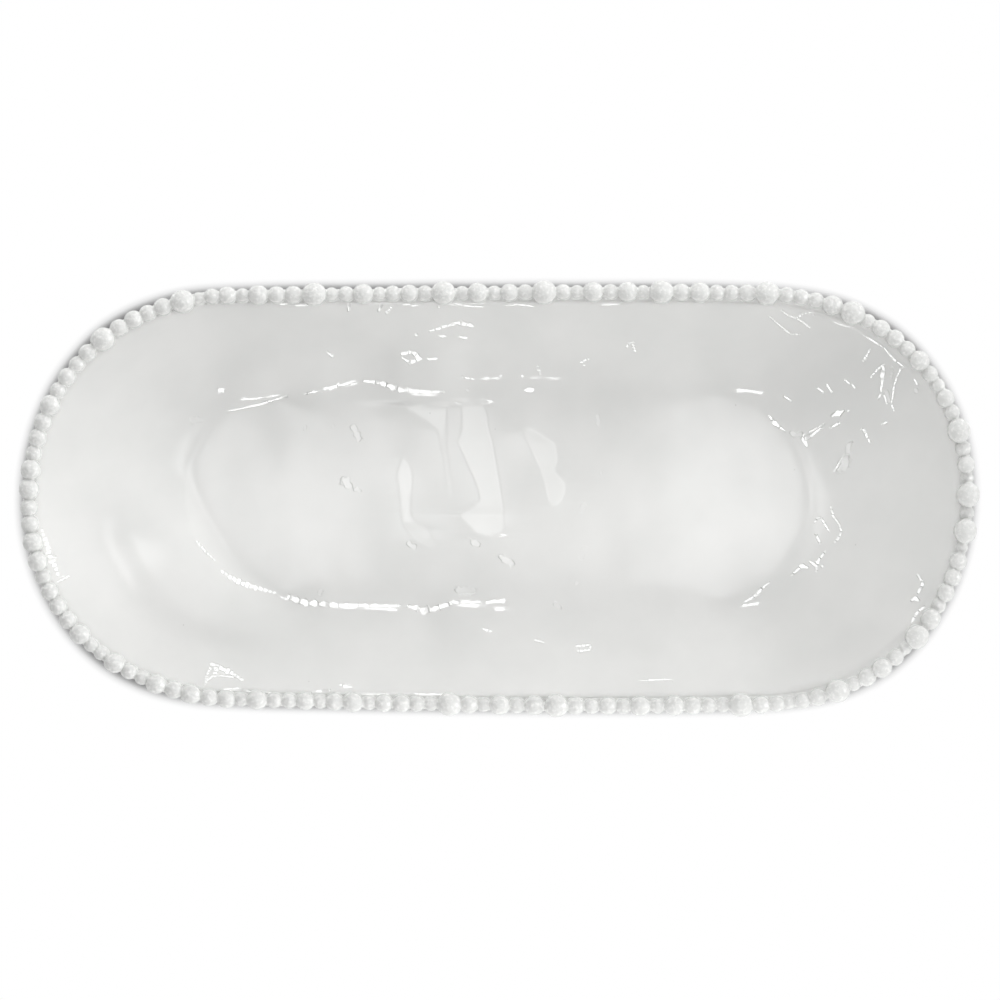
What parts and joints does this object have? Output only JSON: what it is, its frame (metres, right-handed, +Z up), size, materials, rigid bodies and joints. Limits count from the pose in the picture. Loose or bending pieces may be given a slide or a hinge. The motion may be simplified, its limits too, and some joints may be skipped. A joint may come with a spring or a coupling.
{
  "type": "asparagus plate",
  "caption": "Long oval glazed serving dish with a shallow hand-pressed well, a level lip carrying a row of clay beads, and a low foot ring.",
  "frame": {"origin": "middle of the plate's outline, on the table surface that the foot ring stands on", "axes": "+X along the plate, +Y across it, +Z up out of the well"},
  "size_m": [0.4226, 0.1925, 0.0382],
  "materials": {
    "glaze": "gloss",
    "bead_glaze": "gloss",
    "bare_foot": "matte"
  },
  "bodies": {
    "root": {"dish_body": "glaze", "rim_lip": "glaze", "foot_ring": "bare_foot", "seed_beads": "bead_glaze", "tiny_beads": "bead_glaze", "small_beads": "bead_glaze", "medium_beads": "bead_glaze", "large_beads": "bead_glaze", "pearl_beads": "bead_glaze"}
  },
  "joints": []
}
